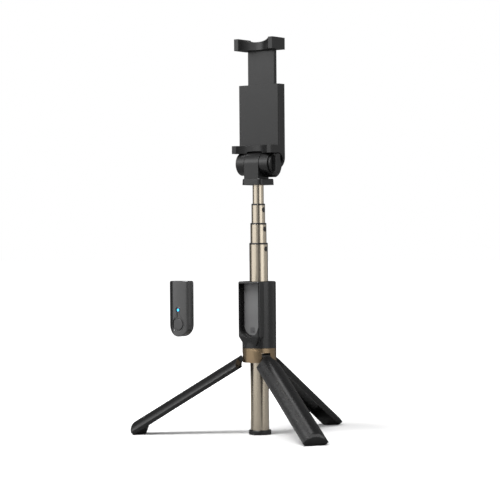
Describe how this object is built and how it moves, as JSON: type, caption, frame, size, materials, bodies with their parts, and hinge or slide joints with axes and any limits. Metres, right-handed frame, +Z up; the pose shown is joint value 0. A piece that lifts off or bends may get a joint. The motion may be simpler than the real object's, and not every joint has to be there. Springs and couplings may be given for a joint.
{
  "type": "tripod selfie stick",
  "caption": "Telescoping selfie stick on folding tripod legs, with a sprung phone clamp on a tilting head and a remote that docks in the grip.",
  "frame": {"origin": "middle of the end cap's underside, on the ground under the pole", "axes": "+Z up the pole, -Y the way the phone's screen and the dock face, +X towards the tilt knob"},
  "size_m": [0.1912, 0.2108, 0.3204],
  "materials": {
    "anodised_champagne": "satin anodised, light champagne",
    "anodised_bronze": "satin anodised, darker bronze",
    "black_plastic": "fine matt moulded texture",
    "clamp_plastic": "satin moulded",
    "dock_grey": "satin grey",
    "remote_plastic": "satin moulded",
    "button_plastic": "satin moulded",
    "black_rubber": "matt rubber",
    "steel": "brushed",
    "led_blue": "clear blue light pipe",
    "board_green": "solder mask",
    "catch_grey": "satin grey",
    "acetal": "slippery bush plastic"
  },
  "bodies": {
    "outer_pole": {"outer_tube": "anodised_champagne", "outer_tube_bush": "acetal", "pole_end_cap": "black_plastic"},
    "second_pole": {"second_tube": "anodised_champagne", "second_tube_bush": "acetal", "second_slide_bush": "acetal"},
    "third_pole": {"third_tube": "anodised_champagne", "third_tube_bush": "acetal", "third_slide_bush": "acetal"},
    "inner_pole": {"inner_tube": "anodised_champagne", "inner_slide_bush": "acetal", "swivel_post": "steel"},
    "head": {"head_base": "clamp_plastic", "swivel_set_screw": "steel"},
    "clamp": {"clamp_bracket": "clamp_plastic", "clamp_front": "clamp_plastic", "lower_jaw_pad": "black_rubber", "guide_rods": "steel", "clamp_spring_left": "steel", "clamp_spring_right": "steel", "clamp_screws": "steel", "hinge_nut": "steel"},
    "knob": {"tilt_knob": "clamp_plastic", "hinge_bolt": "steel"},
    "jaw": {"upper_jaw": "clamp_plastic", "upper_jaw_pad": "black_rubber", "jaw_slider": "clamp_plastic"},
    "grip": {"grip_housing": "black_plastic", "dock_tray": "dock_grey", "dock_catch": "catch_grey", "grip_guide_bush": "acetal", "grip_friction_ring": "black_rubber", "leg_collar": "anodised_bronze", "leg_hub": "black_plastic", "grip_screws": "steel", "leg_pins": "steel"},
    "remote": {"remote_back": "remote_plastic", "remote_front": "remote_plastic", "remote_board": "board_green", "remote_dome": "steel", "remote_cell": "steel", "remote_led": "led_blue"},
    "remote_key": {"remote_button": "button_plastic"},
    "leg_1": {"leg_1_shell": "black_plastic", "leg_1_foot": "black_rubber"},
    "leg_2": {"leg_2_shell": "black_plastic", "leg_2_foot": "black_rubber"},
    "leg_3": {"leg_3_shell": "black_plastic", "leg_3_foot": "black_rubber"}
  },
  "joints": [
    {"name": "grip_slide", "type": "slide", "parent": "outer_pole", "child": "grip", "axis": [0, 0, 1], "range_m": [0, 0.036]},
    {"name": "second_section_slide", "type": "slide", "parent": "outer_pole", "child": "second_pole", "axis": [0, 0, 1], "range_m": [-0.0125, 0.11]},
    {"name": "third_section_slide", "type": "slide", "parent": "second_pole", "child": "third_pole", "axis": [0, 0, 1], "range_m": [-0.0125, 0.11]},
    {"name": "inner_section_slide", "type": "slide", "parent": "third_pole", "child": "inner_pole", "axis": [0, 0, 1], "range_m": [-0.014, 0.11]},
    {"name": "head_swivel", "type": "hinge", "parent": "inner_pole", "child": "head", "pos_m": [0, 0, 0.2042], "axis": [0, 0, 1], "continuous": true},
    {"name": "head_tilt", "type": "hinge", "parent": "head", "child": "clamp", "pos_m": [0, 0, 0.2188], "axis": [1, 0, 0], "range_deg": [-80, 90]},
    {"name": "tilt_knob_turn", "type": "hinge", "parent": "clamp", "child": "knob", "pos_m": [0.018, 0, 0.2188], "axis": [1, 0, 0], "range_deg": [0, 270]},
    {"name": "jaw_slide", "type": "slide", "parent": "clamp", "child": "jaw", "axis": [0, 0, 1], "range_m": [-0.02, 0.01], "deforming": ["clamp_spring_left", "clamp_spring_right"]},
    {"name": "remote_docking", "type": "slide", "parent": "grip", "child": "remote", "axis": [0, 0.9988, -0.0499], "range_m": [0, 0.08811]},
    {"name": "remote_button_press", "type": "slide", "parent": "remote", "child": "remote_key", "axis": [0, 1, 0], "range_m": [0, 0.0006], "stiffness_N_per_m": 1500},
    {"name": "leg_1_fold", "type": "hinge", "parent": "grip", "child": "leg_1", "pos_m": [0, 0.0105, 0.063], "axis": [-1, 0, 0], "range_deg": [0, 58.3]},
    {"name": "leg_2_fold", "type": "hinge", "parent": "grip", "child": "leg_2", "pos_m": [-0.00909, -0.00525, 0.063], "axis": [0.5, -0.866, 0], "range_deg": [0, 58.3]},
    {"name": "leg_3_fold", "type": "hinge", "parent": "grip", "child": "leg_3", "pos_m": [0.00909, -0.00525, 0.063], "axis": [0.5, 0.866, 0], "range_deg": [0, 58.3]}
  ]
}
